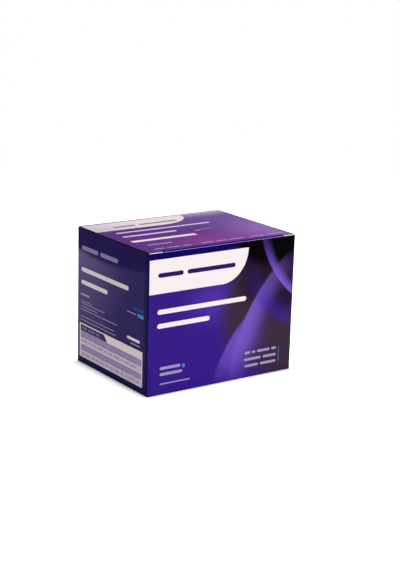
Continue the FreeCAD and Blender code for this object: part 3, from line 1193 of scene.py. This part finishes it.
class BoardFinishes:
    """Builds every finish of the board once and hands them to the carton and the lid."""

    def __init__(self) -> None:
        """Builds the finishes."""
        shared = {Side.REVERSE: ReverseBoard().build(), Side.CUT: CUT_BOARD.build()}
        dust_flap = CoatedBoard("coated_dust_flap_board", "X", 51.2, 51.5)
        tuck_flap = CoatedBoard("coated_tuck_flap_board", "Z", 85.0, 85.3, "#2A0C66")
        self.carton = {
            Side.FRONT: FRONT_GROUND.build(),
            Side.LEFT: LEFT_GROUND.build(),
            Side.RIGHT: RIGHT_GROUND.build(),
            Side.BACK: BACK_GROUND.build(),
            Side.BASE: Ink("laminated_base_ink", "#241A4C").build(),
            Side.COATED: dust_flap.build(),
            Side.RUBBED: PAINTED_RIM_HIGHLIGHT.build(),
            **shared,
        }
        self.lid = {
            Side.LID: LID_GROUND.build(),
            Side.COATED: tuck_flap.build(),
            **shared,
        }


@dataclass
class NeedleStrips:
    """The twenty sealed strips: peel paper on top and clear film with blisters below."""

    columns: tuple[str, ...] = ("left", "right")
    layers: int = 10
    paper_depth: float = 0.15

    def dress(self) -> int:
        """Gives each strip its paper and its film.

        Returns:
            How many strips there are.
        """
        finishes = {Side.PAPER: PeelPaper().build(), Side.FILM: BLISTER_FILM.build()}
        places = list(itertools.product(self.columns, range(1, self.layers + 1)))
        for column, layer in places:
            node = f"needle_strip_{column}_{layer:02d}"
            top = max(vertex.co.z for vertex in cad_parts[node].data.vertices) / MM
            rule = functools.partial(strip_side, top - self.paper_depth)
            Solid(node, rule).dress(finishes)
        return len(places)


@dataclass
class Softbox:
    """A square lamp with a soft front, which points at the middle of the carton, in metres."""

    name: str
    place: Triple
    side: float
    watts: float
    target: Triple = (0.0, 0.0, 0.045)

    def build(self) -> None:
        """Builds the lamp."""
        lamp = bpy.data.lights.new(self.name, "AREA")
        lamp.shape = "SQUARE"
        lamp.size = self.side
        lamp.energy = self.watts
        holder = bpy.data.objects.new(self.name, lamp)
        holder.location = self.place
        aim = Vector(self.target) - Vector(self.place)
        holder.rotation_euler = aim.to_track_quat("-Z", "Y").to_euler()
        bpy.context.scene.collection.objects.link(holder)


@dataclass
class Studio:
    """A plain pale floor under even light, with a white background. Its sizes are in metres."""

    floor_side: float = 14.0
    sink: float = 0.00004
    paper: str = "#F2F2F2"
    paper_lift: float = 2.2
    white: str = "#FFFFFF"
    ambient: float = 0.22
    shadow_reach: Point = (0.22, 0.75)
    softboxes: tuple[Softbox, ...] = (
        Softbox("front_softbox", (0.20, -1.24, 0.40), 0.8, 9.0),
        Softbox("top_softbox", (0.05, 0.02, 1.30), 0.2, 8.6),
        Softbox("side_softbox", (-1.30, 0.25, 0.22), 0.4, 3.4),
    )

    def seen_directly(self, tree: Tree) -> Socket:
        """Tells whether a ray looks at the background itself, straight or in a mirror.

        Args:
            tree: The material's or the world's node tree.

        Returns:
            1 for camera, glossy and transmission rays, otherwise 0.
        """
        path = add(tree, "LightPath").node.outputs
        seen = path["Is Camera Ray"]
        for kind in ("Is Glossy Ray", "Is Transmission Ray"):
            seen = add(tree, "Math", (seen, path[kind]), operation="MAXIMUM")
        return seen

    def build_world(self) -> None:
        """Makes the world a white background that lights the object at a plain level."""
        world = bpy.data.worlds.new("white_studio")
        world.use_nodes = True
        tree = world.node_tree
        tree.nodes.clear()
        span = {"Value": self.seen_directly(tree), "To Min": self.ambient, "To Max": 1.0}
        level = add(tree, "MapRange", span)
        backdrop = add(tree, "Background", {"Color": linear(self.white), "Strength": level})
        add(tree, "OutputWorld", {"Surface": backdrop})
        bpy.context.scene.world = world

    def floor_material(self) -> Material:
        """Builds matt white paper that keeps a soft shadow and fades into the background."""
        material, tree = new_material("white_paper_sweep")
        lifted = (self.paper_lift, self.paper_lift, self.paper_lift, 1.0)
        paper = add(tree, "BsdfDiffuse", {"Color": linear(self.paper)})
        near = add(tree, "BsdfDiffuse", {"Color": lifted})
        far = add(tree, "Emission", {"Color": linear(self.white), "Strength": 1.0})
        place = add(tree, "TexCoord", output="Object")
        away = add(tree, "VectorMath", [place], "Value", operation="LENGTH")
        start, end = self.shadow_reach
        span = {"Value": away, "From Min": start, "From Max": end}
        faded = add(tree, "MapRange", span, interpolation_type="SMOOTHSTEP")
        shown = add(tree, "MixShader", (faded, near, far))
        surface = add(tree, "MixShader", (self.seen_directly(tree), paper, shown))
        add(tree, "OutputMaterial", {"Surface": surface})
        return material

    def build_floor(self) -> None:
        """Lays the sheet of paper that the carton stands on."""
        half = self.floor_side / 2
        mesh = bpy.data.meshes.new("paper_floor")
        sides = ((-half, -half), (half, -half), (half, half), (-half, half))
        mesh.from_pydata([(x, y, -self.sink) for x, y in sides], [], [(0, 1, 2, 3)])
        mesh.materials.append(self.floor_material())
        floor = bpy.data.objects.new("paper_floor", mesh)
        bpy.context.scene.collection.objects.link(floor)

    def build(self) -> None:
        """Builds the world, the floor and the lamps."""
        self.build_world()
        self.build_floor()
        for softbox in self.softboxes:
            softbox.build()


@dataclass
class PhotoCamera:
    """The camera at the photograph's viewing angle."""

    azimuth: float = 35.36
    elevation: float = 14.95
    roll: float = 1.60
    distance: float = 832.1
    target: Triple = (-18.16, -42.0, 66.02)
    sensor: float = 36.0
    lens: float = 86.28
    clip: Point = (50.0, 60000.0)

    def build(self) -> None:
        """Builds the camera and makes it the scene's own."""
        turn, dip, lean = (math.radians(v) for v in (self.azimuth, self.elevation, self.roll))
        level = math.cos(dip)
        ahead = Vector((level * math.sin(turn), level * math.cos(turn), -math.sin(dip)))
        right = ahead.cross(Vector((0, 0, 1))).normalized()
        up = right.cross(ahead)
        leaned_right = right * math.cos(lean) + up * math.sin(lean)
        leaned_up = up * math.cos(lean) - right * math.sin(lean)
        lens = bpy.data.cameras.new("photo_camera")
        lens.sensor_fit = "AUTO"
        lens.sensor_width = self.sensor
        lens.lens = self.lens
        lens.clip_start, lens.clip_end = (length * MM for length in self.clip)
        camera = bpy.data.objects.new("photo_camera", lens)
        turned = Matrix((leaned_right, leaned_up, -ahead)).transposed().to_4x4()
        place = (Vector(self.target) - ahead * self.distance) * MM
        camera.matrix_world = Matrix.Translation(place) @ turned
        bpy.context.scene.collection.objects.link(camera)
        bpy.context.scene.camera = camera


def main() -> None:
    """Builds the studio, dresses the solids and lays on the print, and reports each piece."""
    logging.basicConfig(level=logging.INFO, format="%(name)s: %(message)s")
    bpy.context.scene.view_settings.view_transform = "Standard"
    PhotoCamera().build()
    Studio().build()
    log.info("camera, floor and lamps are in place")
    finishes = BoardFinishes()
    for node, rule, own in (
        ("carton_body", carton_side, finishes.carton),
        ("lid", lid_side, finishes.lid),
    ):
        log.info("%s shows %d kinds of surface", node, Solid(node, rule).dress(own))
    log.info("%d needle strips have paper and film", NeedleStrips().dress())
    for layer in (
        FrontPrint("front_print", Panel.FRONT),
        LidPrint("lid_print", Panel.LID, "lid"),
        SidePrint("left_print", Panel.LEFT),
        SidePrint("right_print", Panel.RIGHT),
        TitledPrint("back_print", Panel.BACK),
    ):
        piece = layer.build()
        log.info("%s has %d faces", piece.name, len(piece.data.polygons))


if __name__ == "__main__":
    main()
